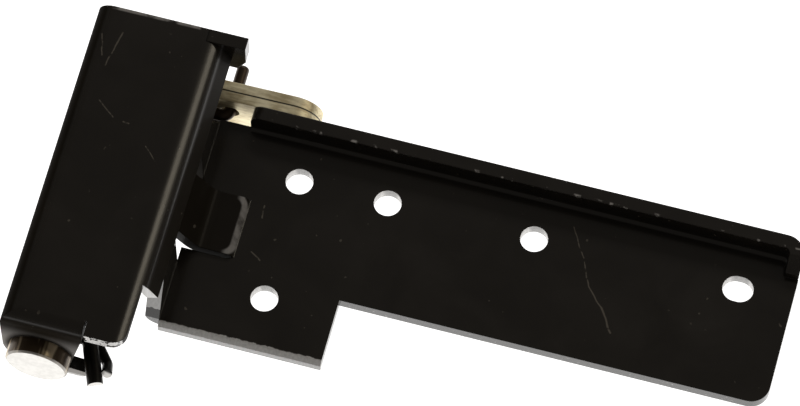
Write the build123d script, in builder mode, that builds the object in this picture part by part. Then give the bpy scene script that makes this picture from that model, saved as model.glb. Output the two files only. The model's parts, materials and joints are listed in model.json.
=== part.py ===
"""A spring-loaded T hinge: a bent-sheet housing on a headed pin, and a long door leaf that swings on it.

Millimetres. The origin is the centre of the pin head's outer face. +Y runs along the swing axis, +X along the
leaf, and +Z is up, towards the housing's front.
"""

from math import radians, tan
import os

from build123d import *

# Pin, on the swing axis
head_r = 5.7
head_thick = 3.1
head_edge = 0.35
pin_r = 3.97
running_gap = 0.05
ear_y = head_thick

# Housing sheet: its front, its two flanks and its bottom ear
shell_t = 2.4
front_z = 12.0
shell_len = 62.9
shell_left = -7.0
left_flank_z = 5.1
left_flank_top_z = 7.6
left_flank_rise_y = 50.0
left_flank_high_y = 55.2
left_bend_r = 3.2
flank_angle = 62.0
flank_x = 18.3
flank_z = 7.0
flank_bend_r = 4.5
flank_start_y = 12.3
free_corner_r = 2.8
ear_right = 8.0
ear_bottom = -7.5
ear_waist = (4.9, -4.6)
ear_foot_z = -5.2
ear_bend_r = 2.6
relief_w = 0.4
relief_len = 2.9

# End plate that closes the top of the housing
cap_t = 2.4
cap_nose_x = 20.9
cap_nose_z = 6.6
cap_chamfer = 1.6
cap_left = -5.2
cap_bottom = -6.2
cap_weld_gap = 0.05
cap_notch_left_x = 14.3
cap_notch_right_x = 17.8

# Door leaf sheet
leaf_t = 2.5
leaf_top = -4.2
leaf_left = 17.9
leaf_right = 125.9
leaf_tab_y = 11.8
leaf_tab_x = 47.9
leaf_edge_y = 24.7
leaf_shoulder_y = 53.4
leaf_corner_r = 3.5
flange_y = 55.8
flange_top = 0.2
flange_left = 23.6
flange_return = 2.6
flange_end_h = 1.7
flange_bend_r = 3.3
flange_tip_r = 2.0
tab_bevel = 0.8
screw_r = 2.5
screw_xy = [(34.9, 45.2), (51.3, 45.2), (78.4, 45.2), (34.9, 21.6)]
end_slot_xy = (115.9, 45.2)
end_slot_len = 5.6
end_slot_r = 2.45

# Risers that stop the leaf against the housing's flank
riser_t = 2.6
riser_top = 5.6
riser_slant = 0.49
lower_riser = (12.9, 24.8)
upper_riser = (41.9, 53.0)
riser_bend_r = 2.9

# Tongue that curls round the pin as the knuckle
window_y = (27.4, 39.6)
window_x = 27.4
window_r = 1.3
tongue_y = (27.8, 39.3)
joggle_rise = 0.9
joggle_w = 1.1
tongue_bend_x = 21.0
tongue_angle = 55.0
tongue_bend_r = 2.4
curl_end_angle = 250.0

# The two arm plates beside the leaf's flange
arm_t = 1.9
arm_start_y = 55.8
arm_mid_z = -5.5
arm_end_r = 4.7
arm_left_x = -4.7
arm_right_x = 30.5
arm_rise = 0.45
eye_r = 7.2
leg_hole_x = 19.0
leg_hole_z = -5.2
leg_hole_r = 1.7

# Torsion spring
wire_r = 1.15
coil_r = pin_r + 0.12 + wire_r
coil_start_y = 40.7
coil_turns = 4.5
coil_pitch = 2.36
fixed_leg_x = 13.0
leg_ramp_x = 8.5
leg_run_x = 13.0
leg_run_y = 54.6
leg_bend_r = 1.6
leg_end_y = 65.0

# Plain rings on the pin, and how far the pin stands out of the end plate
thrust_washer_y = 6.85
washer_r = 6.2
washer_t = 1.2
spacer_r = 5.8
stack_gap = 0.08
pin_stand_out = 1.2
pin_chamfer = 0.6

# Split cotter through the pin: its eye, its half-round stem and its two legs. A leg's Y is measured from the
# ear's outer face
cotter_r = 1.45
cotter_y = 4.6
cotter_gap = 0.08
cotter_slit = 0.04
cotter_eye_x = -5.7
cotter_loop_r = 1.4
cotter_wire_r = 0.75
cotter_stem_x = 6.6
cotter_upper_bend_r = 1.9
cotter_upper_route = [(7.7, cotter_y, 0), (11.2, -3.9, 0)]
cotter_tip_r = 0.95
cotter_lower_bend_r = 1.4
cotter_lower_route = [(9.0, cotter_y, -1.05), (12.0, 1.0, -1.05), (12.6, -1.3, 0.3)]


def section(y):
    """A plane across the swing axis: its x is +X and its y is +Z. y is measured from the ear's outer face."""
    return Plane.XZ.offset(-(ear_y + y))


def bent_sheet(points, radii, thickness, side):
    """A strip of bent sheet, as a flat face, whose outer side follows the points."""
    with BuildSketch() as strip:
        with BuildLine():
            FilletPolyline(*points, radius=radii)
            offset(amount=thickness, side=side)
        make_face()
    return strip.sketch_local


# Housing shell: one sheet bent into the front, both flanks and the bottom ear
flank_corner_x = flank_x - (front_z - flank_z) / tan(radians(flank_angle))
shell_strip = bent_sheet(
    [(shell_left, left_flank_z), (shell_left, front_z), (flank_corner_x, front_z), (flank_x, flank_z)],
    [left_bend_r, flank_bend_r],
    shell_t,
    Side.RIGHT,
)
ear_strip = bent_sheet(
    [(ear_y, ear_bottom), (ear_y, front_z), (ear_y + relief_len + 0.5, front_z)],
    [ear_bend_r],
    shell_t,
    Side.RIGHT,
)

cap_y = shell_len - cap_t
notch_outline = [
    (cap_notch_left_x, ear_y + shell_len + 1),
    (cap_notch_left_x, ear_y + shell_len),
    (cap_notch_right_x, ear_y + cap_y - cap_weld_gap),
    (flank_x + 1, ear_y + cap_y - cap_weld_gap),
    (flank_x + 1, ear_y + shell_len + 1),
]

with BuildPart() as housing_shell:
    with BuildSketch(section(0)):
        add(shell_strip)
    extrude(amount=-shell_len)
    # The flank starts above the free lower corner of the front, which is rounded
    with BuildSketch(Plane.XY):
        with BuildLine():
            Polyline(
                (flank_corner_x, ear_y - 1),
                (flank_corner_x, ear_y + flank_start_y),
                (flank_x + 1, ear_y + flank_start_y),
                (flank_x + 1, ear_y - 1),
                close=True,
            )
        make_face()
    extrude(amount=front_z + 1, mode=Mode.SUBTRACT)
    with BuildSketch(section(0)):
        with Locations((flank_corner_x - 3, front_z - shell_t - 4)):
            Rectangle(8, 8)
    extrude(amount=-flank_start_y, mode=Mode.SUBTRACT)
    # Room for the ear's own bend, with a relief slit beside it
    with BuildSketch(Plane.XY):
        with BuildLine():
            Polyline(
                (shell_left - 1, ear_y - 1),
                (ear_right + relief_w, ear_y - 1),
                (ear_right + relief_w, ear_y + relief_len),
                (shell_left - 1, ear_y + relief_len),
                close=True,
            )
        make_face()
    extrude(amount=front_z + 1, mode=Mode.SUBTRACT)
    # The ear, bent down from the front. Its right edge leans in to a waist above a foot
    with BuildSketch(Plane.YZ.offset(shell_left)):
        add(ear_strip)
    extrude(amount=ear_right - shell_left)
    with BuildSketch(section(-1)):
        with BuildLine():
            Polyline(
                (ear_right, front_z - ear_bend_r),
                ear_waist,
                (ear_right + 1, ear_foot_z),
                (ear_right + 1, front_z - ear_bend_r),
                close=True,
            )
        make_face()
    extrude(amount=-shell_t - 1.5, mode=Mode.SUBTRACT)
    # The ear's bend is rounded at the left like the front's own edge
    with BuildSketch(section(-1)):
        with Locations((shell_left + (left_bend_r - 1) / 2, front_z - (left_bend_r - 1) / 2)):
            Rectangle(left_bend_r + 1, left_bend_r + 1)
        with Locations((shell_left + left_bend_r, front_z - left_bend_r)):
            Circle(left_bend_r, mode=Mode.SUBTRACT)
    extrude(amount=-relief_len - 1.5, mode=Mode.SUBTRACT)
    # The left flank's lower edge rises towards the top, clear of the arm's tail
    with BuildSketch(Plane.YZ.offset(shell_left - 1)):
        with BuildLine():
            Polyline(
                (ear_y + left_flank_rise_y, left_flank_z - 1),
                (ear_y + left_flank_rise_y, left_flank_z),
                (ear_y + left_flank_high_y, left_flank_top_z),
                (ear_y + shell_len + 1, left_flank_top_z),
                (ear_y + shell_len + 1, left_flank_z - 1),
                close=True,
            )
        make_face()
    extrude(amount=shell_t + 1.5, mode=Mode.SUBTRACT)
    # The notch at the flank's upper end, where the end plate's nose stands
    with BuildSketch(Plane.XY):
        with BuildLine():
            Polyline(*notch_outline, close=True)
        make_face()
    extrude(amount=front_z + 1, mode=Mode.SUBTRACT)
    # The ear's rounded left corner, its pin hole and the front's free corner
    ear_corner = housing_shell.edges().filter_by(Axis.Y).sort_by(Axis.Z)[:2].sort_by(Axis.X)
    fillet(ear_corner[0], radius=abs(ear_bottom) - 0.4)
    fillet(ear_corner[1], radius=1.2)
    free_corner = housing_shell.edges().filter_by(Axis.Z).sort_by(
        lambda edge: (edge.center().X - flank_corner_x) ** 2 + (edge.center().Y - ear_y) ** 2
    )[0]
    fillet(free_corner, radius=free_corner_r)
    with BuildSketch(section(-1)):
        Circle(pin_r + 0.1)
    extrude(amount=-shell_t - 2, mode=Mode.SUBTRACT)
housing_shell.part.label = "housing_shell"

# End plate: under the front at the top of the shell, its nose in the notch at the flank's end
with BuildPart() as shell_end:
    with BuildSketch(section(cap_y - cap_weld_gap)):
        add(shell_strip)
        offset(amount=cap_weld_gap)
    extrude(amount=-cap_t - 1)
    with BuildSketch(Plane.XY):
        with BuildLine():
            Polyline(*notch_outline, close=True)
        make_face()
        offset(amount=-cap_weld_gap)
    extrude(amount=front_z + 1, mode=Mode.SUBTRACT)

with BuildPart() as top_end_plate:
    with BuildSketch(section(cap_y)):
        with BuildLine():
            Polyline(
                (cap_left, front_z - shell_t - cap_weld_gap),
                (cap_left, cap_bottom),
                (-cap_left, cap_bottom),
                (flank_x - 5, cap_nose_z - 3),
                (cap_nose_x - cap_chamfer, cap_nose_z - 3),
                (cap_nose_x, cap_nose_z - 3 + 2 * cap_chamfer),
                (cap_nose_x, front_z),
                (flank_corner_x - 3, front_z),
                (flank_corner_x - 3, front_z - shell_t - cap_weld_gap),
                close=True,
            )
        make_face()
        Circle(pin_r + running_gap, mode=Mode.SUBTRACT)
    extrude(amount=-cap_t)
    add(shell_end.part, mode=Mode.SUBTRACT)
top_end_plate.part.label = "top_end_plate"

# Hinge pin: a flat head outside the ear, a cross hole for the cotter, a chamfered top end
pin_end_y = ear_y + shell_len + pin_stand_out

with BuildPart() as hinge_pin:
    with BuildSketch(Plane.XY):
        with BuildLine():
            Polyline(
                (0, 0),
                (head_r - head_edge, 0),
                (head_r, head_edge),
                (head_r, head_thick),
                (pin_r, head_thick),
                (pin_r, pin_end_y - pin_chamfer),
                (pin_r - pin_chamfer, pin_end_y),
                (0, pin_end_y),
                close=True,
            )
        make_face()
    revolve(axis=Axis.Y)
    with BuildSketch(Plane.YZ.offset(-pin_r - 1)):
        with Locations((ear_y + cotter_y, 0)):
            Circle(cotter_r + cotter_gap)
    extrude(amount=2 * pin_r + 2, mode=Mode.SUBTRACT)
hinge_pin.part.label = "hinge_pin"

# Split cotter: two half-round legs, one above the other, its eye on the left and its legs bent on the right.
# The lower leg's tip is drawn down to a round wire
cotter_start_x = cotter_eye_x + cotter_loop_r


def cotter_route(start, points, radius):
    """The middle line of one leg, from its start through its bends to its end."""
    with BuildLine() as route:
        FilletPolyline(*[(x, ear_y + y, z) for x, y, z in [start, *points]], radius=radius)
    return route.line


def cotter_half(side):
    """Half of the cotter's round section, above the split for a side of 1 and below it for -1."""
    with BuildSketch(Plane.YZ.offset(cotter_start_x)) as half:
        with Locations((ear_y + cotter_y, 0)):
            Circle(cotter_r)
        with Locations((ear_y + cotter_y, -side * (cotter_r + cotter_slit))):
            Rectangle(3 * cotter_r, 2 * cotter_r, mode=Mode.SUBTRACT)
    return half.sketch


upper_route = cotter_route((cotter_start_x, cotter_y, 0), cotter_upper_route, cotter_upper_bend_r)
lower_start = (cotter_stem_x - 1, cotter_y, cotter_lower_route[0][2])
lower_route = cotter_route(lower_start, cotter_lower_route, cotter_lower_bend_r)

with BuildPart() as cotter_pin:
    sweep(cotter_half(1), path=upper_route)
    extrude(cotter_half(-1), amount=cotter_stem_x - cotter_start_x)
    with BuildSketch(Plane(lower_route @ 0, z_dir=lower_route % 0)):
        Circle(cotter_tip_r)
    sweep(path=lower_route)
    with Locations((cotter_eye_x, ear_y + cotter_y, 0)):
        Torus(cotter_loop_r, cotter_wire_r)
cotter_pin.part.label = "cotter_pin"


def ring(y, outer_r, length):
    """A plain ring on the pin, from y above the ear's outer face."""
    with BuildPart() as part:
        with BuildSketch(section(y)):
            Circle(outer_r)
            Circle(pin_r + running_gap, mode=Mode.SUBTRACT)
        extrude(amount=-length)
    return part.part


# Plain rings on the pin: under the cotter, below the knuckle and above the arm's eye
thrust_washer = ring(thrust_washer_y, washer_r, washer_t)
thrust_washer.label = "thrust_washer"
spacer_y = thrust_washer_y + washer_t + stack_gap
spacer_tube = ring(spacer_y, spacer_r, tongue_y[0] - stack_gap - spacer_y)
spacer_tube.label = "spacer_tube"
arm_end_y = arm_start_y + 2 * arm_t
top_washer = ring(arm_end_y + stack_gap, washer_r, cap_y - arm_end_y - 2 * stack_gap)
top_washer.label = "top_washer"

# Torsion spring: four and a half close turns, one leg under the front, the other hooked through the arm
coil_plane = Plane(origin=(0, ear_y + coil_start_y, 0), x_dir=(0, 0, 1), z_dir=(0, 1, 0))
coil = coil_plane.location * Helix(coil_pitch, coil_turns * coil_pitch, coil_r, lefthand=True)
coil_len = coil_turns * coil_pitch
coil_end_y = ear_y + coil_start_y + coil_len

with BuildPart() as torsion_spring:
    with BuildLine() as fixed_leg:
        Line((fixed_leg_x, ear_y + coil_start_y, coil_r), (0, ear_y + coil_start_y, coil_r))
    with BuildLine() as hooked_leg:
        FilletPolyline(
            (0, coil_end_y, -coil_r),
            (leg_ramp_x, coil_end_y, -coil_r),
            (leg_run_x, ear_y + leg_run_y, leg_hole_z),
            (leg_hole_x, ear_y + leg_run_y, leg_hole_z),
            (leg_hole_x, ear_y + leg_end_y, leg_hole_z),
            radius=leg_bend_r,
        )
    with BuildSketch(Plane(coil @ 0, z_dir=coil % 0)):
        Circle(wire_r)
    sweep(path=coil)
    with BuildSketch(Plane(fixed_leg.line @ 0, z_dir=fixed_leg.line % 0)):
        Circle(wire_r)
    sweep(path=fixed_leg.line)
    with BuildSketch(Plane(hooked_leg.line @ 0, z_dir=hooked_leg.line % 0)):
        Circle(wire_r)
    sweep(path=hooked_leg.line)
    fillet(torsion_spring.faces().sort_by(Axis.Y)[-1].edges(), radius=wire_r * 0.6)
torsion_spring.part.label = "torsion_spring"

# Arm plates: a bar with round ends, an eye round the pin, and a hole for the spring's leg
arm_plates = []
for number, name in enumerate(["arm_plate_near", "arm_plate_far"]):
    with BuildPart() as arm_plate:
        with BuildSketch(section(arm_start_y + number * arm_t)):
            with BuildLine():
                l1 = Line((arm_left_x, arm_mid_z - arm_end_r), (arm_right_x, arm_mid_z - arm_end_r))
                l2 = ThreePointArc(
                    l1 @ 1,
                    (arm_right_x + arm_end_r + arm_rise / 2, arm_mid_z + arm_rise / 2),
                    (arm_right_x, arm_mid_z + arm_end_r + arm_rise),
                )
                l3 = Line(l2 @ 1, (arm_left_x, arm_mid_z + arm_end_r - arm_rise))
                ThreePointArc(l3 @ 1, (arm_left_x - arm_end_r, arm_mid_z), l1 @ 0)
            make_face()
            Circle(eye_r)
            Circle(pin_r + running_gap, mode=Mode.SUBTRACT)
            with Locations((leg_hole_x, leg_hole_z)):
                Circle(leg_hole_r, mode=Mode.SUBTRACT)
        extrude(amount=-arm_t)
    arm_plate.part.label = name
    arm_plates.append(arm_plate.part)

# Door leaf
leaf_bottom = leaf_top - leaf_t
curl_r = pin_r + running_gap + leaf_t
slope = tan(radians(tongue_angle))
tongue_top = leaf_top + joggle_rise
tongue_corner_x = tongue_bend_x - (curl_r - tongue_top) / slope

with BuildSketch() as tongue_strip:
    with BuildLine():
        FilletPolyline(
            (window_x + 1.5, leaf_top),
            (window_x + 0.1, leaf_top),
            (window_x + 0.1 - joggle_w, tongue_top),
            (tongue_bend_x, tongue_top),
            (tongue_corner_x, curl_r),
            (0, curl_r),
            radius=[0.4, 0.4, tongue_bend_r, 5.0],
        )
        CenterArc((0, 0), curl_r, 90, curl_end_angle)
        offset(amount=leaf_t, side=Side.LEFT)
    make_face()

# The flange's bend, as a section that runs along the top and then turns the far corner
corner_x = leaf_right - leaf_corner_r
corner_y = ear_y + flange_y - leaf_corner_r
flange_strip = bent_sheet(
    [(0, leaf_bottom), (leaf_corner_r, leaf_bottom), (leaf_corner_r, flange_top)],
    [flange_bend_r],
    leaf_t,
    Side.LEFT,
)

with BuildPart() as door_leaf:
    # The flat plate, with the tab at its lower left
    with BuildSketch(Plane.XY.offset(leaf_bottom)):
        with BuildLine():
            FilletPolyline(
                (leaf_tab_x, ear_y + leaf_edge_y),
                (leaf_right, ear_y + leaf_edge_y),
                (leaf_right, corner_y - flange_return),
                radius=leaf_corner_r,
            )
            Polyline(
                (leaf_right, corner_y - flange_return),
                (corner_x, corner_y - flange_return),
                (corner_x, corner_y),
                (flange_left, corner_y),
                (flange_left, ear_y + leaf_shoulder_y),
                (leaf_left, ear_y + leaf_shoulder_y),
                (leaf_left, ear_y + leaf_tab_y),
                (leaf_tab_x, ear_y + leaf_tab_y),
                (leaf_tab_x, ear_y + leaf_edge_y),
            )
        make_face()
    extrude(amount=leaf_t)
    # The flange along the top
    with BuildSketch(Plane.YZ.offset(flange_left)):
        with Locations((corner_y, 0)):
            add(flange_strip)
    extrude(amount=corner_x - flange_left)
    # The far corner, where the same section turns through a right angle
    with BuildSketch(Plane.YZ.offset(corner_x)):
        with Locations((corner_y, 0)):
            add(flange_strip)
    revolve(axis=Axis((corner_x, corner_y, 0), (0, 0, -1)), revolution_arc=90)
    # A short return down the far edge, where the flange dies out
    with BuildSketch(Plane.XZ.offset(-corner_y)):
        with Locations((corner_x, 0)):
            add(flange_strip)
    extrude(amount=flange_return)
    with BuildSketch(Plane.YZ.offset(corner_x - 1)):
        with BuildLine():
            Polyline(
                (corner_y, flange_top + 1),
                (corner_y, flange_top),
                (corner_y - flange_return, leaf_top + flange_end_h),
                (corner_y - flange_return - 1, flange_top + 1),
                close=True,
            )
        make_face()
    extrude(amount=leaf_corner_r + 2, mode=Mode.SUBTRACT)
    flange_tip = door_leaf.edges().filter_by(Axis.Y).filter_by(
        lambda edge: abs(edge.center().X - flange_left) < 0.01 and edge.center().Z > flange_top - 0.01
    )
    fillet(flange_tip, radius=flange_tip_r)
    # The window behind the tongue
    with BuildSketch(Plane.XY.offset(leaf_bottom - 1)):
        with BuildLine():
            FilletPolyline(
                (leaf_left - 1, ear_y + window_y[0]),
                (window_x, ear_y + window_y[0]),
                (window_x, ear_y + window_y[1]),
                (leaf_left - 1, ear_y + window_y[1]),
                radius=window_r,
            )
            Line((leaf_left - 1, ear_y + window_y[1]), (leaf_left - 1, ear_y + window_y[0]))
        make_face()
    extrude(amount=leaf_t + 2, mode=Mode.SUBTRACT)
    # The tongue, joggled up from the plate, bent up and curled round the pin
    with BuildSketch(section(tongue_y[0])):
        add(tongue_strip.sketch_local)
    extrude(amount=tongue_y[0] - tongue_y[1])
    # The two risers, bent up along the left edge; their outer ends slant
    for low_y, high_y in (lower_riser, upper_riser):
        with BuildSketch(section(low_y)):
            with BuildLine():
                FilletPolyline(
                    (leaf_left + 0.5, leaf_bottom),
                    (leaf_left - riser_t, leaf_bottom),
                    (leaf_left - riser_t, riser_top),
                    radius=riser_bend_r,
                )
                Polyline(
                    (leaf_left - riser_t, riser_top),
                    (leaf_left, riser_top),
                    (leaf_left, leaf_top),
                    (leaf_left + 0.5, leaf_top),
                    (leaf_left + 0.5, leaf_bottom),
                )
            make_face()
        extrude(amount=low_y - high_y)
    riser_setback = riser_slant * (riser_top - leaf_top)
    for base_y, top_y in (
        (lower_riser[0], lower_riser[0] + riser_setback),
        (upper_riser[1], upper_riser[1] - riser_setback),
    ):
        with BuildSketch(Plane.YZ.offset(leaf_left - riser_t - 1)):
            with BuildLine():
                Polyline(
                    (ear_y + base_y, leaf_top),
                    (ear_y + top_y, riser_top),
                    (ear_y + top_y, riser_top + 1),
                    (ear_y + base_y, riser_top + 1),
                    close=True,
                )
            make_face()
        extrude(amount=riser_t + 1, mode=Mode.SUBTRACT)
    # Screw holes: four round, and one a little long at the far end
    with BuildSketch(Plane.XY.offset(leaf_bottom - 1)):
        with Locations(*[(x, ear_y + y) for x, y in screw_xy]):
            Circle(screw_r)
        with Locations((end_slot_xy[0], ear_y + end_slot_xy[1])):
            SlotOverall(end_slot_len, 2 * end_slot_r)
    extrude(amount=leaf_t + 2, mode=Mode.SUBTRACT)
    # The sheared bevel along the tab's lower edge
    tab_edge = door_leaf.edges().filter_by(Axis.X).filter_by(
        lambda edge: abs(edge.center().Z - leaf_top) < 0.01
        and abs(edge.center().Y - (ear_y + leaf_tab_y)) < 0.01
    )
    chamfer(tab_edge, length=tab_bevel)
door_leaf.part.label = "door_leaf"

os.makedirs("parts", exist_ok=True)
pieces = [
    housing_shell.part,
    top_end_plate.part,
    hinge_pin.part,
    cotter_pin.part,
    thrust_washer,
    spacer_tube,
    top_washer,
    torsion_spring.part,
    door_leaf.part,
    *arm_plates,
]
for piece in pieces:
    export_step(piece, f"parts/{piece.label}.step")
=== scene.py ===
"""Looks for the spring-loaded T hinge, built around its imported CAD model.

Metres, in the part's own frame: +Y runs along the swing axis, +X along the leaf, and +Z up out of the
housing's front. Sizes named in millimetres are turned into metres by mm().
"""

import json
import math

import bpy
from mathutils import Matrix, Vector


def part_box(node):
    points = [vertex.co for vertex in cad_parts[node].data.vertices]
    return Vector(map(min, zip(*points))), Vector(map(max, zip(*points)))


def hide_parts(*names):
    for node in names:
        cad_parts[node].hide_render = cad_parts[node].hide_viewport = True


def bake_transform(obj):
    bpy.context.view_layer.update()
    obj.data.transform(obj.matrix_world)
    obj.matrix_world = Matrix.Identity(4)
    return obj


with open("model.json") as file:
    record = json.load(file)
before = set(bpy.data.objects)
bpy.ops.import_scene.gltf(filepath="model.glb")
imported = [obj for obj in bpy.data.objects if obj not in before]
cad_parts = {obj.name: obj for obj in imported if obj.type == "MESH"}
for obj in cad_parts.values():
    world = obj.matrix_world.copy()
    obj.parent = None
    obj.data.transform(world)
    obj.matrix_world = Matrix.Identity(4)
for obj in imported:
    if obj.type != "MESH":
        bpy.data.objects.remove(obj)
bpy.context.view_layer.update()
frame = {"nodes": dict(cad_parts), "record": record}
nodes = frame["nodes"]


def mm(value):
    """Millimetres in metres."""
    return value / 1000


def mm_point(x, y, z):
    """A point given in millimetres, in metres."""
    return Vector((mm(x), mm(y), mm(z)))


def box_mm(name):
    """A piece's lowest and highest corner, in millimetres."""
    low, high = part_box(name)
    return low * 1000, high * 1000


# Places that the finishes depend on, in millimetres. Every Y but EAR_Y is measured from the ear's
# outer face. First the housing shell's:
SHELL_LOW, SHELL_HIGH = box_mm("housing_shell")
EAR_Y = SHELL_LOW.y
EAR_FACE_Y = 0.6
EAR_EDGE_X = 1.0
EAR_EDGE_Z = SHELL_LOW.z + 0.9
# Height where the ear's painted reflection has faded out, going up
EAR_SHEEN_Z = 8.5
FRONT_EDGE_X = 8.4
FRONT_EDGE_Y = 3.2
FRONT_EDGE_Z = SHELL_HIGH.z - 3.0
FRONT_TOP_Y = SHELL_HIGH.y - EAR_Y
FLANK_END_Y = 12.3
FLANK_LEFT_X = 11.0

# The leaf's:
TAB_EDGE_Y = box_mm("door_leaf")[0].y - EAR_Y + 1.6
TAB_RIGHT_X = 48.0
RISER_LEFT_X = 14.8
RISER_RIGHT_X = 18.1
RISER_LOW_Z = -2.8
RISER_HIGH_Y = 20.5
UPPER_RISER_Y = 41.9
LEAF_EDGE_Y = 24.7
TONGUE_X = 27.6
JOGGLE_X = 26.9
JOGGLE_Y = (27.8, 39.3)
JOGGLE_R = 2.2
FLANGE_INNER_Y = 53.2
FLANGE_TOP_Z = 0.2
HOLE_WALL_R = 3.15

# The other pieces':
HEAD_R = box_mm("hinge_pin")[1].x
ARM_SPLIT_Y = box_mm("arm_plate_far")[0].y - EAR_Y
COTTER_TIP_Y = -1.0

# Scratches in the paint: (start, end, width), in millimetres
FRONT_SCRATCHES = [
    ((-4.7, 57.1), (-3.5, 53.0), 0.16),
    ((-1.2, 58.3), (-2.3, 51.3), 0.2),
    ((-1.7, 44.6), (1.6, 41.8), 0.16),
    ((3.8, 41.4), (4.9, 41.3), 0.2),
    ((9.0, 37.8), (11.3, 35.4), 0.14),
]
LEAF_SCRATCHES = [
    ((84.7, 49.3), (88.5, 42.6), 0.14),
    ((88.5, 42.6), (90.1, 38.8), 0.18),
    ((90.1, 38.8), (93.2, 35.4), 0.18),
    ((93.2, 35.4), (96.0, 31.1), 0.24),
    ((30.1, 39.0), (30.3, 36.6), 0.18),
    ((30.2, 29.7), (32.0, 28.5), 0.18),
]

# Small sizes, in millimetres: how far a scratch wavers, how deep a finish's relief is, and how round it makes
# the edges look
SCRATCH_WAVER = 0.9
PAINT_RELIEF = 0.02
PLATED_RELIEF = 0.015
WIRE_RELIEF = 0.02
PAINT_EDGE_R = 0.22
PLATED_EDGE_R = 0.18
WIRE_EDGE_R = 0.12

# How far a face is turned, as one part of its normal: where a finish starts on it and where it is full
SQUARE_TO_EAR = (-0.7, -0.95)
FACING_EAR = (-0.6, -0.85)

# Colours, dark before light where a finish varies between two
BLACK_PAINT = ((0.0065, 0.005, 0.0032, 1), (0.02, 0.0155, 0.0102, 1))
MARKED_PAINT = (0.24, 0.21, 0.17, 1)
# Grey for worn paint and for painted light: a painted reflection on the ear, painted highlights on the
# front's top edge and the joggle
GREY_WEAR_AND_SHEEN = (0.42, 0.4, 0.38, 1)
BARE_STEEL = ((0.5, 0.49, 0.48, 1), (0.92, 0.91, 0.89, 1))
SHADED_STEEL = (0.2, 0.2, 0.2, 1)
CLEAR_ZINC = ((0.78, 0.76, 0.72, 1), (0.9, 0.88, 0.84, 1))
# A darker copy of the pin's zinc: painted shade for the washers and the spacer, which sit in shade
SHADED_ZINC = ((0.2, 0.195, 0.19, 1), (0.4, 0.39, 0.37, 1))
YELLOW_ZINC = ((0.6, 0.49, 0.28, 1), (1.0, 0.9, 0.62, 1))
# Painted reflection on the pin head's side: dark brown for the dark room it mirrors, light gold for painted
# highlight streaks
HEAD_REFLECTION_ZINC = ((0.075, 0.05, 0.028, 1), (0.62, 0.5, 0.34, 1))
SPLIT_LINE = (0.03, 0.022, 0.012, 1)
BLACK_WIRE = ((0.008, 0.008, 0.007, 1), (0.026, 0.024, 0.021, 1))
BROWN_WIRE = ((0.02, 0.014, 0.01, 1), (0.07, 0.047, 0.03, 1))
CUT_WIRE = (0.75, 0.73, 0.7, 1)
PALE_FLOOR = ((0.93, 0.93, 0.93, 1), (0.96, 0.96, 0.96, 1))

# How finely a grain's noise repeats along X, Y and Z
TURNED_GRAIN = (900.0, 900.0, 900.0)
ROLLED_GRAIN = (300.0, 1800.0, 1800.0)
DRAWN_GRAIN = (900.0, 260.0, 900.0)
SHEARED_GRAIN = (2600.0, 2600.0, 160.0)
# The painted reflection's streaks on the pin head repeat this finely
REFLECTION_STREAKS = (520.0, 60.0, 520.0)

# Camera: the point it faces, its azimuth and elevation from there in degrees, its distance in metres and its
# lens in millimetres
CAMERA_TARGET = mm_point(53.9, EAR_Y + 44.0, 0)
CAMERA_AZIMUTH = 15.0
CAMERA_ELEVATION = 66.0
CAMERA_DISTANCE = 1.059
CAMERA_LENS = 267.0
SENSOR_WIDTH = 36.0

# Studio: the floor's sizes in metres, and its light, the room's and the lamps'
FLOOR_HALF_WIDTH = 3.0
FLOOR_CLEARANCE = 0.015
FLOOR_GLOW = 1.15
ROOM_COLOUR = (1.0, 0.93, 0.84, 1)
ROOM_STRENGTH = 0.1
WARM_LIGHT = (1.0, 0.9, 0.72)
WHITE_LIGHT = (1.0, 1.0, 1.0)


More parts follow.
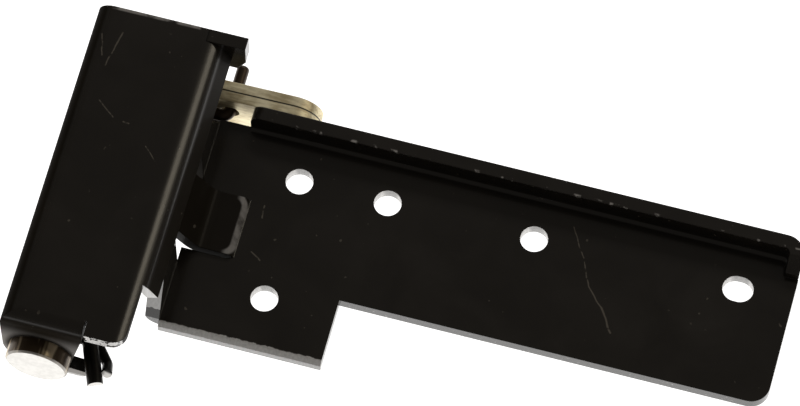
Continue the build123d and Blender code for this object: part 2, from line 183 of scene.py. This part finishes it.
class Nodes:
    """Short calls that add and join the nodes of one material."""

    def __init__(self, name):
        self.material = bpy.data.materials.new(name)
        self.material.use_nodes = True
        self.tree = self.material.node_tree
        self.tree.nodes.clear()
        self.coords = self.add("ShaderNodeTexCoord")
        self.position = self.coords.outputs["Object"]
        self.normal = self.coords.outputs["Normal"]
        self.axes = self.split(self.position)
        self.faces = self.split(self.normal)
        self.from_ear = self.math("SUBTRACT", self.axes["Y"], mm(EAR_Y))

    def add(self, kind, **values):
        node = self.tree.nodes.new(kind)
        for name, value in values.items():
            setattr(node, name, value)
        return node

    def feed(self, socket, value):
        """Joins a socket to another node's output, or sets it to a plain value."""
        if isinstance(value, bpy.types.NodeSocket):
            self.tree.links.new(value, socket)
        else:
            socket.default_value = value

    def split(self, vector):
        node = self.add("ShaderNodeSeparateXYZ")
        self.feed(node.inputs[0], vector)
        return node.outputs

    def math(self, operation, a, b=0.0):
        node = self.add("ShaderNodeMath", operation=operation)
        self.feed(node.inputs[0], a)
        self.feed(node.inputs[1], b)
        return node.outputs[0]

    def ramp(self, value, low, high):
        """0 below low and 1 above high, or the other way round where high is the smaller."""
        node = self.add("ShaderNodeMapRange", interpolation_type="SMOOTHSTEP")
        rising = low < high
        self.feed(node.inputs["Value"], value)
        self.feed(node.inputs["From Min"], min(low, high))
        self.feed(node.inputs["From Max"], max(low, high))
        self.feed(node.inputs["To Min"], 0.0 if rising else 1.0)
        self.feed(node.inputs["To Max"], 1.0 if rising else 0.0)
        return node.outputs["Result"]

    def above(self, value, place, fade):
        """0 up to a place and 1 from a fade beyond it, both in millimetres."""
        return self.ramp(value, mm(place), mm(place + fade))

    def below(self, value, place, fade):
        """0 from a place on and 1 up to a fade before it, both in millimetres."""
        return self.ramp(value, mm(place), mm(place - fade))

    def near(self, value, place, inner=0.2, outer=0.4):
        """1 within inner of a place and 0 beyond outer, all in millimetres."""
        gap = self.math("ABSOLUTE", self.math("SUBTRACT", value, mm(place)))
        return self.ramp(gap, mm(outer), mm(inner))

    def both(self, *values):
        """Where every mask is 1, as their product."""
        result = values[0]
        for value in values[1:]:
            result = self.math("MULTIPLY", result, value)
        return result

    def either(self, *values):
        """Where any mask is 1, as their maximum."""
        result = values[0]
        for value in values[1:]:
            result = self.math("MAXIMUM", result, value)
        return result

    def length(self, a, b):
        """The length of a vector with the parts a and b."""
        return self.math("SQRT", self.math("ADD", self.both(a, a), self.both(b, b)))

    def vector_math(self, operation, a, b, output=0):
        node = self.add("ShaderNodeVectorMath", operation=operation)
        self.feed(node.inputs[0], a)
        self.feed(node.inputs[1], b)
        return node.outputs[output]

    def flat(self, x, y):
        """A point at x and y, with no height."""
        node = self.add("ShaderNodeCombineXYZ")
        self.feed(node.inputs[0], x)
        self.feed(node.inputs[1], y)
        return node.outputs[0]

    def stretched(self, scale):
        """The position, stretched by a factor along each axis."""
        node = self.add("ShaderNodeMapping")
        self.feed(node.inputs["Vector"], self.position)
        self.feed(node.inputs["Scale"], scale)
        return node.outputs["Vector"]

    def noise(self, scale, detail=4.0, vector=None, distortion=0.0):
        """Noise over the position, or over another vector."""
        node = self.add("ShaderNodeTexNoise")
        self.feed(node.inputs["Vector"], vector or self.position)
        self.feed(node.inputs["Scale"], scale)
        self.feed(node.inputs["Detail"], detail)
        self.feed(node.inputs["Distortion"], distortion)
        return node.outputs["Fac"]

    def mix(self, factor, a, b):
        """A colour between a and b."""
        node = self.add("ShaderNodeMix", data_type="RGBA")
        self.feed(node.inputs[0], factor)
        self.feed(node.inputs[6], a)
        self.feed(node.inputs[7], b)
        return node.outputs[2]

    def blend_value(self, factor, a, b):
        """A plain value between a and b."""
        node = self.add("ShaderNodeMix", data_type="FLOAT")
        self.feed(node.inputs[0], factor)
        self.feed(node.inputs[2], a)
        self.feed(node.inputs[3], b)
        return node.outputs[0]

    def bump(self, height, distance, strength, normal):
        """The surface's direction with a small relief of that height on top."""
        node = self.add("ShaderNodeBump")
        self.feed(node.inputs["Height"], height)
        self.feed(node.inputs["Distance"], distance)
        self.feed(node.inputs["Strength"], strength)
        self.feed(node.inputs["Normal"], normal)
        return node.outputs["Normal"]

    def rounded(self, radius):
        """The surface's direction with its edges rounded by that radius."""
        node = self.add("ShaderNodeBevel", samples=6)
        self.feed(node.inputs["Radius"], radius)
        return node.outputs["Normal"]

    def surface(self, **values):
        """Ends the material with a surface that has those values, and returns it."""
        shader = self.add("ShaderNodeBsdfPrincipled")
        for name, value in values.items():
            self.feed(shader.inputs[name.replace("_", " ")], value)
        output = self.add("ShaderNodeOutputMaterial")
        self.tree.links.new(shader.outputs[0], output.inputs["Surface"])
        return self.material


def scratch(n, start, end, width):
    """1 along a wavering scratch between two points on faces that look up, and 0 away from it."""
    waver = n.math("MULTIPLY", n.math("SUBTRACT", n.noise(260.0, detail=2.0), 0.5), mm(SCRATCH_WAVER))
    point = n.flat(n.math("ADD", n.axes["X"], waver), n.axes["Y"])
    first = mm_point(start[0], EAR_Y + start[1], 0)
    along = mm_point(end[0], EAR_Y + end[1], 0) - first
    way = along.normalized()

    offset = n.vector_math("SUBTRACT", point, first)
    reach = n.vector_math("DOT_PRODUCT", offset, way, output=1)
    reach = n.math("MINIMUM", n.math("MAXIMUM", reach, 0.0), along.length)
    nearest = n.add("ShaderNodeVectorMath", operation="SCALE")
    n.feed(nearest.inputs[0], way)
    n.feed(nearest.inputs["Scale"], reach)
    gap = n.vector_math("DISTANCE", offset, nearest.outputs[0], output=1)
    broken = n.ramp(n.noise(900.0, detail=3.0), 0.36, 0.52)
    return n.both(n.below(gap, width, width * 0.7), broken, n.ramp(n.faces["Z"], 0.35, 0.5))


def nowhere(n):
    """A finish that covers nothing."""
    return 0.0


def ear_face(n):
    """The ear's outer face."""
    return n.both(n.ramp(n.faces["Y"], *SQUARE_TO_EAR), n.below(n.from_ear, EAR_FACE_Y, 0.4))


def bare_on_shell(n):
    """The flank's lower end face, the ear's free bottom edge, and the front's free lower edge."""
    flank_end = n.both(
        n.ramp(n.faces["Y"], *FACING_EAR),
        n.above(n.axes["X"], FLANK_LEFT_X, 0.3),
        n.near(n.from_ear, FLANK_END_Y),
    )
    ear_edge = n.both(
        n.below(n.axes["Z"], EAR_EDGE_Z, 0.3),
        n.above(n.axes["X"], EAR_EDGE_X, 1.5),
    )
    front_edge = n.both(
        n.ramp(n.faces["Y"], -0.4, -0.7),
        n.below(n.from_ear, FRONT_EDGE_Y, 0.4),
        n.above(n.axes["X"], FRONT_EDGE_X, 0.2),
        n.above(n.axes["Z"], FRONT_EDGE_Z, 0.5),
        n.ramp(n.noise(1000.0, detail=3.0), 0.38, 0.5),
    )
    return n.either(flank_end, ear_edge, front_edge)


def painted_sheen_on_shell(n):
    """Painted light on the shell: a painted reflection that greys the ear's outer face low down and away from
    the head, which shades the rest, and a painted highlight along the front's top edge.
    """
    ear = n.both(
        ear_face(n),
        n.below(n.axes["Z"], EAR_SHEEN_Z, 7.5),
        n.above(n.length(n.axes["X"], n.axes["Z"]), HEAD_R - 0.2, 1.8),
    )
    top_edge = n.both(
        n.above(n.from_ear, FRONT_TOP_Y - 0.7, 0.3),
        n.ramp(n.faces["Z"], 0.6, 0.9),
        n.ramp(n.noise(260.0, detail=4.0), 0.42, 0.56),
    )
    return n.either(ear, n.math("MULTIPLY", top_edge, 0.9))


def dull_on_shell(n):
    """The ear's outer face and both flanks, which the gloss missed."""
    right_flank = n.math("MULTIPLY", n.ramp(n.faces["X"], 0.78, 0.87), 0.85)
    left_flank = n.ramp(n.faces["X"], -0.2, -0.5)
    return n.either(ear_face(n), right_flank, left_flank)


def hole_centres():
    """The screw holes' centres in metres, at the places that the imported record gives."""
    centres = []
    for mount in frame["record"]["mounts"]:
        x, y = mount["pos_m"][:2]
        half_x = mm(mount["dims"].get("spacing_x_mm", 0)) / 2
        half_y = mm(mount["dims"].get("spacing_y_mm", 0)) / 2
        if mount["kind"] == "bolt_pattern":
            centres += [(x - half_x, y - half_y, 0), (x + half_x, y + half_y, 0)]
        if mount["name"] == "leaf_end_slot":
            centres.append((x, y, 0))
    return centres


def hole_walls(n):
    """The walls of the screw holes."""
    point = n.flat(n.axes["X"], n.axes["Y"])
    steep = n.ramp(n.math("ABSOLUTE", n.faces["Z"]), 0.5, 0.3)
    distances = [n.vector_math("DISTANCE", point, centre, output=1) for centre in hole_centres()]
    walls = [n.below(distance, HOLE_WALL_R, 0.1) for distance in distances]
    return n.both(n.either(*walls), steep)


def bare_on_leaf(n):
    """The lower riser's slanted end face, the lower edges of the tab and the leaf, and the holes' walls."""
    riser_end = n.both(
        n.ramp(n.faces["Y"], -0.5, -0.75),
        n.above(n.axes["X"], RISER_LEFT_X, 0.3),
        n.below(n.axes["X"], RISER_RIGHT_X, 0.2),
        n.above(n.axes["Z"], RISER_LOW_Z, 1.2),
        n.below(n.from_ear, RISER_HIGH_Y, 0.5),
    )
    tab_edge = n.both(
        n.below(n.from_ear, TAB_EDGE_Y, 1.2),
        n.below(n.axes["X"], TAB_RIGHT_X + 0.2, 0.2),
        n.ramp(n.faces["Z"], -0.7, -0.3),
    )
    lower_edge = n.both(
        n.ramp(n.faces["Y"], *FACING_EAR),
        n.below(n.from_ear, LEAF_EDGE_Y + 0.4, 0.2),
        n.above(n.axes["X"], TAB_RIGHT_X, 2.0),
    )
    return n.either(riser_end, tab_edge, n.math("MULTIPLY", lower_edge, 0.35), hole_walls(n))


def chips_and_sheen_on_leaf(n):
    """A painted highlight along the round-cornered joggle behind the window, and real paint chips along the
    flange's inner top edge.
    """
    middle_y = (JOGGLE_Y[0] + JOGGLE_Y[1]) / 2
    half_y = (JOGGLE_Y[1] - JOGGLE_Y[0]) / 2 - JOGGLE_R
    past_x = n.math("MAXIMUM", n.math("SUBTRACT", n.axes["X"], mm(JOGGLE_X - JOGGLE_R)), 0.0)
    off_middle = n.math("ABSOLUTE", n.math("SUBTRACT", n.from_ear, mm(middle_y)))
    past_y = n.math("MAXIMUM", n.math("SUBTRACT", off_middle, mm(half_y)), 0.0)
    # Painted highlight along the joggle's rounded bend
    joggle = n.both(
        n.near(n.length(past_x, past_y), JOGGLE_R, 0.3, 0.75),
        n.above(n.axes["X"], JOGGLE_X - 2.0, 1.2),
        n.ramp(n.faces["Z"], 0.2, 0.5),
        n.ramp(n.noise(300.0, detail=4.0), 0.3, 0.55),
    )
    chips = n.both(
        n.above(n.axes["Z"], FLANGE_TOP_Z - 0.5, 0.4),
        n.above(n.from_ear, FLANGE_INNER_Y - 0.4, 0.4),
        n.below(n.from_ear, FLANGE_INNER_Y + 0.7, 0.4),
        n.ramp(n.noise(480.0, detail=3.0), 0.58, 0.66),
    )
    return n.either(n.math("MULTIPLY", joggle, 0.75), chips)


def dull_on_leaf(n):
    """The tongue, and the upper riser's lower end."""
    tongue = n.both(
        n.below(n.axes["X"], TONGUE_X, 0.5),
        n.above(n.from_ear, JOGGLE_Y[0] - 0.2, 0.1),
        n.below(n.from_ear, JOGGLE_Y[1] + 0.2, 0.1),
    )
    riser_end = n.both(n.ramp(n.faces["Y"], *SQUARE_TO_EAR), n.near(n.from_ear, UPPER_RISER_Y))
    return n.either(n.math("MULTIPLY", tongue, 0.85), riser_end)


def black_paint(name, bare=nowhere, scratches=(), wear_and_sheen=nowhere, dull=nowhere, edge_shade=0.0):
    """Thin gloss black paint on steel.

    bare(n), the grey mask after the scratches, and dull(n) give where steel shows, where the paint is worn
    grey and where painted highlights and reflections grey it, and where it has no gloss.
    edge_shade paints shade on the steel of faces that look along -Y.
    """
    n = Nodes(name)
    ripple = n.noise(420.0, detail=3.0)
    peel = n.noise(1500.0, detail=2.0)
    smear = n.noise(75.0, detail=5.0, distortion=0.6)
    specks = n.both(n.ramp(n.noise(700.0, detail=1.0), 0.74, 0.78), n.ramp(n.noise(90.0), 0.44, 0.56))
    marks = n.math("MULTIPLY", specks, 0.7)
    for start, end, width in scratches:
        marks = n.either(marks, scratch(n, start, end, width))
    # Grey where the paint is worn and where painted highlights and reflections are put
    wear_and_sheen_mask = wear_and_sheen(n)
    flatness = dull(n)

    jagged = n.math("SUBTRACT", n.noise(1300.0, detail=5.0), 0.5)
    steel_mask = n.ramp(n.math("ADD", bare(n), n.math("MULTIPLY", jagged, 0.9)), 0.42, 0.6)
    grooves = n.noise(1.0, detail=4.0, vector=n.stretched(SHEARED_GRAIN))
    shaded = n.math("MULTIPLY", n.ramp(n.faces["Y"], -0.8, -0.95), edge_shade)

    paint = n.mix(smear, *BLACK_PAINT)
    paint = n.mix(n.math("MULTIPLY", marks, 0.55), paint, MARKED_PAINT)
    paint = n.mix(wear_and_sheen_mask, paint, GREY_WEAR_AND_SHEEN)
    steel = n.mix(shaded, n.mix(grooves, *BARE_STEEL), SHADED_STEEL)
    gloss = n.math("ADD", n.math("MULTIPLY", smear, 0.14), 0.17)
    gloss = n.math("ADD", gloss, n.math("MULTIPLY", flatness, 0.4))
    coat = n.both(n.math("SUBTRACT", 1.0, steel_mask), n.math("SUBTRACT", 1.0, flatness), 0.3)

    relief = n.math("ADD", n.math("MULTIPLY", ripple, 0.7), n.math("MULTIPLY", peel, 0.3))
    relief = n.math("SUBTRACT", relief, n.math("MULTIPLY", marks, 0.5))
    return n.surface(
        Base_Color=n.mix(steel_mask, paint, steel),
        Metallic=n.math("MULTIPLY", steel_mask, 0.25),
        Roughness=n.blend_value(steel_mask, gloss, 0.4),
        Specular_IOR_Level=n.math("SUBTRACT", 0.5, n.math("MULTIPLY", flatness, 0.48)),
        Coat_Weight=coat,
        Coat_Roughness=0.1,
        Normal=n.bump(relief, mm(PAINT_RELIEF), 0.3, n.rounded(mm(PAINT_EDGE_R))),
    )


def painted_reflection_on_head(n):
    """The head's turned side, which gets a painted reflection of the dark room with painted highlight
    streaks.
    """
    return n.both(n.ramp(n.faces["Y"], -0.85, -0.6), n.below(n.from_ear, 0.1, 0.2))


def plated_steel(name, colours, roughness, grain, split_y=None, reflected=None):
    """Bright plated steel with fine turning or rolling marks, and a dark line where two plates meet.

    The mask argument after split_y gives where a painted reflection covers the plating.
    """
    n = Nodes(name)
    lines = n.noise(1.0, detail=4.0, vector=n.stretched(grain))
    cloud = n.noise(230.0, detail=5.0)
    pits = n.ramp(n.noise(1500.0, detail=4.0), 0.66, 0.74)
    tone = n.math("ADD", n.math("MULTIPLY", lines, 0.45), n.math("MULTIPLY", cloud, 0.55))
    pitted = tuple(part * 0.35 for part in colours[0][:3]) + (1,)
    colour = n.mix(n.ramp(tone, 0.38, 0.62), *colours)
    colour = n.mix(n.math("MULTIPLY", pits, 0.2), colour, pitted)
    relief = n.math("SUBTRACT", lines, n.math("MULTIPLY", pits, 0.6))
    if split_y is not None:
        colour = n.mix(n.near(n.from_ear, split_y, 0.08, 0.2), colour, SPLIT_LINE)
    # A painted reflection: dark brown with light streaks that stand for highlights
    if reflected is not None:
        streaks = n.ramp(n.noise(1.0, detail=2.0, vector=n.stretched(REFLECTION_STREAKS)), 0.5, 0.62)
        colour = n.mix(reflected(n), colour, n.mix(streaks, *HEAD_REFLECTION_ZINC))
    return n.surface(
        Base_Color=colour,
        Metallic=0.6,
        Roughness=n.math("ADD", n.math("MULTIPLY", cloud, 0.18), roughness),
        Normal=n.bump(relief, mm(PLATED_RELIEF), 0.3, n.rounded(mm(PLATED_EDGE_R))),
    )


def dark_wire(name, colours, tip_y=None):
    """Oiled dark steel wire, bright where it was cut, beyond tip_y."""
    n = Nodes(name)
    drawn = n.noise(1.0, detail=3.0, vector=n.stretched(DRAWN_GRAIN))
    cloud = n.noise(260.0, detail=4.0)
    colour = n.mix(cloud, *colours)
    if tip_y is not None:
        cut = n.both(n.below(n.from_ear, tip_y, 0.3), n.ramp(n.faces["Y"], -0.6, -0.8))
        colour = n.mix(cut, colour, CUT_WIRE)
    return n.surface(
        Base_Color=colour,
        Metallic=0.75,
        Roughness=n.math("ADD", n.math("MULTIPLY", cloud, 0.2), 0.22),
        Normal=n.bump(drawn, mm(WIRE_RELIEF), 0.35, n.rounded(mm(WIRE_EDGE_R))),
    )


def floor_material():
    """A plain pale floor, lit evenly from below as on a light table."""
    n = Nodes("pale_floor")
    return n.surface(
        Base_Color=n.mix(n.noise(6.0, detail=2.0), *PALE_FLOOR),
        Roughness=0.9,
        Specular_IOR_Level=0.1,
        Emission_Color=(1, 1, 1, 1),
        Emission_Strength=FLOOR_GLOW,
    )


def paint_nodes(material, *names):
    """Gives CAD nodes one material, in place of what they have."""
    for name in names:
        slots = nodes[name].data.materials
        slots.clear()
        slots.append(material)


def paint_cad():
    """Gives each CAD piece its finish."""
    # The shell's grey patches are painted light: a painted reflection on the ear and a painted highlight on
    # the front's top edge
    shell = black_paint("black_paint_shell", bare_on_shell, FRONT_SCRATCHES, painted_sheen_on_shell, dull_on_shell)
    # The leaf's grey marks are real paint chips plus a painted highlight on the joggle
    leaf = black_paint(
        "black_paint_leaf", bare_on_leaf, LEAF_SCRATCHES, chips_and_sheen_on_leaf, dull_on_leaf, edge_shade=0.6,
    )
    paint_nodes(shell, "housing_shell")
    paint_nodes(black_paint("black_paint_end_plate"), "top_end_plate")
    paint_nodes(leaf, "door_leaf")

    # The pin's head gets a painted reflection on its side
    pin = plated_steel("clear_zinc", CLEAR_ZINC, 0.24, TURNED_GRAIN, reflected=painted_reflection_on_head)
    # The washers and the spacer take the darker zinc as painted shade
    stack = plated_steel("shaded_zinc", SHADED_ZINC, 0.3, TURNED_GRAIN)
    arm = plated_steel("yellow_zinc", YELLOW_ZINC, 0.32, ROLLED_GRAIN, split_y=ARM_SPLIT_Y)
    paint_nodes(pin, "hinge_pin")
    paint_nodes(stack, "thrust_washer", "spacer_tube", "top_washer")
    paint_nodes(arm, "arm_plate_near", "arm_plate_far")

    paint_nodes(dark_wire("black_wire", BLACK_WIRE, tip_y=COTTER_TIP_Y), "cotter_pin")
    paint_nodes(dark_wire("brown_wire", BROWN_WIRE), "torsion_spring")


def add_spring():
    """A copy of the spring as its own object, with the CAD piece hidden."""
    mesh = nodes["torsion_spring"].data.copy()
    spring = bpy.data.objects.new("torsion_spring_wound", mesh)
    bpy.context.scene.collection.objects.link(spring)
    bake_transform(spring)
    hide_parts("torsion_spring")


def direction(azimuth, elevation):
    """The way from a target to a viewer at that azimuth and elevation, in degrees."""
    a = math.radians(azimuth)
    e = math.radians(elevation)
    return Vector((math.sin(a) * math.cos(e), -math.cos(a) * math.cos(e), math.sin(e)))


def look_at(obj, target):
    """Turns a camera or a light to face a point."""
    obj.rotation_euler = (target - obj.location).to_track_quat("-Z", "Y").to_euler()


def add_camera():
    camera = bpy.data.objects.new("camera", bpy.data.cameras.new("camera"))
    bpy.context.scene.collection.objects.link(camera)
    camera.location = CAMERA_TARGET + direction(CAMERA_AZIMUTH, CAMERA_ELEVATION) * CAMERA_DISTANCE
    look_at(camera, CAMERA_TARGET)
    camera.data.lens = CAMERA_LENS
    camera.data.sensor_width = SENSOR_WIDTH
    camera.data.clip_start = 0.01
    bpy.context.scene.camera = camera


def add_softbox(name, azimuth, elevation, distance, width, height, power, colour=WHITE_LIGHT):
    """A soft area light that faces the middle of the part."""
    light = bpy.data.lights.new(name, "AREA")
    light.shape = "RECTANGLE"
    light.size = width
    light.size_y = height
    light.energy = power
    light.color = colour
    box = bpy.data.objects.new(name, light)
    bpy.context.scene.collection.objects.link(box)
    box.location = CAMERA_TARGET + direction(azimuth, elevation) * distance
    look_at(box, CAMERA_TARGET)


def add_floor():
    """A floor that the leaf's far end clears when it swings down."""
    leaf_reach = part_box("door_leaf")[1].x
    mesh = bpy.data.meshes.new("floor")
    signs = [(-1, -1), (1, -1), (1, 1), (-1, 1)]
    corners = [(x * FLOOR_HALF_WIDTH, y * FLOOR_HALF_WIDTH, 0.0) for x, y in signs]
    mesh.from_pydata(corners, [], [(0, 1, 2, 3)])
    floor = bpy.data.objects.new("floor", mesh)
    bpy.context.scene.collection.objects.link(floor)
    floor.location.z = -leaf_reach - FLOOR_CLEARANCE
    mesh.materials.append(floor_material())


def add_world():
    world = bpy.data.worlds.new("studio")
    world.use_nodes = True
    background = world.node_tree.nodes["Background"]
    background.inputs["Color"].default_value = ROOM_COLOUR
    background.inputs["Strength"].default_value = ROOM_STRENGTH
    bpy.context.scene.world = world


def add_lights():
    """A warm key light from the right, a weak fill from the left and a strong light from behind."""
    add_softbox(
        "key_softbox", azimuth=122.0, elevation=42.0, distance=1.1,
        width=0.14, height=0.7, power=0.9, colour=WARM_LIGHT,
    )
    add_softbox(
        "left_softbox", azimuth=-80.0, elevation=30.0, distance=1.1,
        width=0.5, height=0.3, power=0.1,
    )
    add_softbox(
        "back_softbox", azimuth=180.0, elevation=38.0, distance=1.2,
        width=0.8, height=0.25, power=3.0,
    )


paint_cad()
add_spring()
add_camera()
add_floor()
add_world()
add_lights()
bpy.context.scene.view_settings.view_transform = "Standard"
